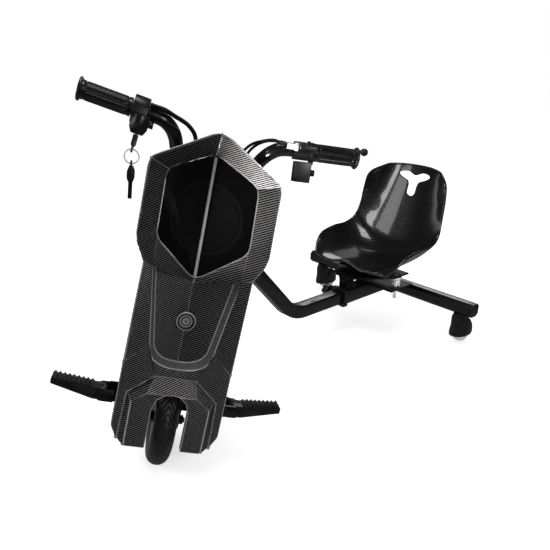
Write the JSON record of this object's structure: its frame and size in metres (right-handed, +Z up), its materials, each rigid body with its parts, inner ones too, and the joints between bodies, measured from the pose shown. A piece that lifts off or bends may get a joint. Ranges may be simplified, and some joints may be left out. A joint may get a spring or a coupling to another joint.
{
  "type": "drift trike",
  "caption": "Low electric drift trike: a steered front fairing and wheel on a raked neck, a sliding square frame, a sprung bucket seat and swivelling rear casters.",
  "frame": {"origin": "on the floor, under the middle of the whole trike as it stands in the picture with its head turned", "axes": "+Z up, +Y towards the rear crossbar, +X towards the left hand of the rider"},
  "size_m": [0.7396, 1.2634, 0.757],
  "materials": {
    "carbon_look_shell": "gloss carbon weave film",
    "satin_black_steel": "satin powder coat",
    "black_plastic": "fine moulded texture",
    "gloss_black_plastic": "polished",
    "grey_plastic": "satin",
    "zinc_steel": "zinc plated",
    "black_rubber": "matte ribbed",
    "tyre_rubber": "matte",
    "white_plastic": "satin"
  },
  "bodies": {
    "rear_frame": {"rear_sleeve": "satin_black_steel", "crossbar": "satin_black_steel", "right_end_cap": "black_plastic", "left_end_cap": "black_plastic", "seat_base_plate": "satin_black_steel", "seat_hinge_post": "satin_black_steel", "right_seat_spring": "zinc_steel", "left_seat_spring": "zinc_steel"},
    "neck": {"neck_tube": "satin_black_steel", "lower_bearing": "zinc_steel", "upper_bearing": "zinc_steel"},
    "head": {"fork": "satin_black_steel", "chassis_column": "satin_black_steel", "steerer": "satin_black_steel", "front_axle": "zinc_steel", "right_axle_nut": "zinc_steel", "left_axle_nut": "zinc_steel", "front_fairing": "carbon_look_shell", "lamp_panel": "gloss_black_plastic", "panel_ridge": "grey_plastic", "headlamp": "grey_plastic", "badge_boss": "satin_black_steel", "front_mudguard": "carbon_look_shell", "rear_cover": "black_plastic", "battery_pack": "black_plastic", "motor_controller": "grey_plastic", "handlebar": "satin_black_steel", "handlebar_clamp": "satin_black_steel", "left_grip": "black_rubber", "throttle_housing": "black_plastic", "ignition_lock": "black_plastic", "brake_lever_bracket": "black_plastic", "cable_adjuster": "zinc_steel", "switch_box": "black_plastic", "right_peg_bracket": "satin_black_steel", "left_peg_bracket": "satin_black_steel", "brake_cable": "black_rubber", "brake_switch_wire": "black_rubber", "throttle_cable": "black_rubber"},
    "front_wheel": {"tyre": "tyre_rubber", "hub_motor": "satin_black_steel"},
    "throttle": {"throttle_grip": "black_rubber"},
    "brake_lever": {"brake_lever": "satin_black_steel"},
    "ignition_key": {"ignition_key": "zinc_steel"},
    "key_ring": {"key_ring": "zinc_steel", "spare_key": "black_plastic"},
    "mode_button": {"mode_button": "black_plastic"},
    "horn_button": {"horn_button": "black_plastic"},
    "right_peg": {"right_foot_peg": "black_plastic"},
    "left_peg": {"left_foot_peg": "black_plastic"},
    "clamp_knob": {"clamp_knob": "black_plastic"},
    "seat": {"seat_plate": "satin_black_steel", "bucket_seat": "carbon_look_shell", "right_seat_bolt": "zinc_steel", "left_seat_bolt": "zinc_steel"},
    "right_caster": {"right_caster_hood": "black_plastic"},
    "left_caster": {"left_caster_hood": "black_plastic"},
    "right_caster_wheel": {"right_caster_wheel": "white_plastic"},
    "left_caster_wheel": {"left_caster_wheel": "white_plastic"}
  },
  "joints": [
    {"name": "frame_length", "type": "slide", "parent": "rear_frame", "child": "neck", "axis": [0, -1, 0], "range_m": [-0.02, 0.08]},
    {"name": "steering", "type": "hinge", "parent": "neck", "child": "head", "pos_m": [-0.04135, -0.20919, 0.47042], "axis": [0, 0.289, 0.9573], "range_deg": [-134.4, 15.6]},
    {"name": "front_wheel_spin", "type": "hinge", "parent": "head", "child": "front_wheel", "pos_m": [0.1394, -0.43437, 0.09445], "axis": [0.509, 0.824, -0.2488], "continuous": true},
    {"name": "right_caster_swivel", "type": "hinge", "parent": "rear_frame", "child": "right_caster", "pos_m": [-0.32335, 0.51297, 0.09], "axis": [0, 0, 1], "continuous": true},
    {"name": "left_caster_swivel", "type": "hinge", "parent": "rear_frame", "child": "left_caster", "pos_m": [0.24065, 0.51297, 0.09], "axis": [0, 0, 1], "continuous": true},
    {"name": "right_caster_roll", "type": "hinge", "parent": "right_caster", "child": "right_caster_wheel", "pos_m": [-0.32335, 0.53697, 0.032], "axis": [1, 0, 0], "continuous": true},
    {"name": "left_caster_roll", "type": "hinge", "parent": "left_caster", "child": "left_caster_wheel", "pos_m": [0.24065, 0.53697, 0.032], "axis": [1, 0, 0], "continuous": true},
    {"name": "throttle_twist", "type": "hinge", "parent": "head", "child": "throttle", "pos_m": [0.09291, -0.46446, 0.72215], "axis": [-0.5063, -0.7893, 0.3475], "range_deg": [0, 60], "stiffness_Nm_per_rad": 0.3, "springref_deg": -11.46},
    {"name": "brake_pull", "type": "hinge", "parent": "head", "child": "brake_lever", "pos_m": [0.30607, -0.19514, 0.64583], "axis": [-0.0532, 0.2013, 0.9781], "range_deg": [0, 12], "stiffness_Nm_per_rad": 1.5, "springref_deg": -8.59},
    {"name": "key_turn", "type": "hinge", "parent": "head", "child": "ignition_key", "pos_m": [0.15668, -0.44893, 0.66903], "axis": [0.0532, 0.3736, 0.9261], "range_deg": [0, 90]},
    {"name": "key_ring_swing", "type": "hinge", "parent": "ignition_key", "child": "key_ring", "pos_m": [0.15532, -0.45842, 0.64551], "axis": [0.5057, 0.8517, -0.1377], "range_deg": [-30, 30]},
    {"name": "mode_press", "type": "slide", "parent": "head", "child": "mode_button", "axis": [-0.5063, -0.7893, 0.3475], "range_m": [0, 0.002], "stiffness_N_per_m": 500, "springref_m": -0.002},
    {"name": "horn_press", "type": "slide", "parent": "head", "child": "horn_button", "axis": [-0.5063, -0.8497, 0.1474], "range_m": [0, 0.002], "stiffness_N_per_m": 500, "springref_m": -0.002},
    {"name": "right_peg_fold", "type": "hinge", "parent": "head", "child": "right_peg", "pos_m": [0.11626, -0.54765, 0.19446], "axis": [-0.8607, 0.4873, -0.1471], "range_deg": [0, 78]},
    {"name": "left_peg_fold", "type": "hinge", "parent": "head", "child": "left_peg", "pos_m": [0.24862, -0.3334, 0.12978], "axis": [0.8607, -0.4873, 0.1471], "range_deg": [0, 78]},
    {"name": "clamp_turn", "type": "hinge", "parent": "rear_frame", "child": "clamp_knob", "pos_m": [-0.09135, 0.30597, 0.117], "axis": [1, 0, 0], "continuous": true},
    {"name": "seat_tilt", "type": "hinge", "parent": "rear_frame", "child": "seat", "pos_m": [-0.04135, 0.32297, 0.168], "axis": [1, 0, 0], "range_deg": [-3, 0], "stiffness_Nm_per_rad": 90, "springref_deg": 5.16, "deforming": ["right_seat_spring", "left_seat_spring"]}
  ]
}
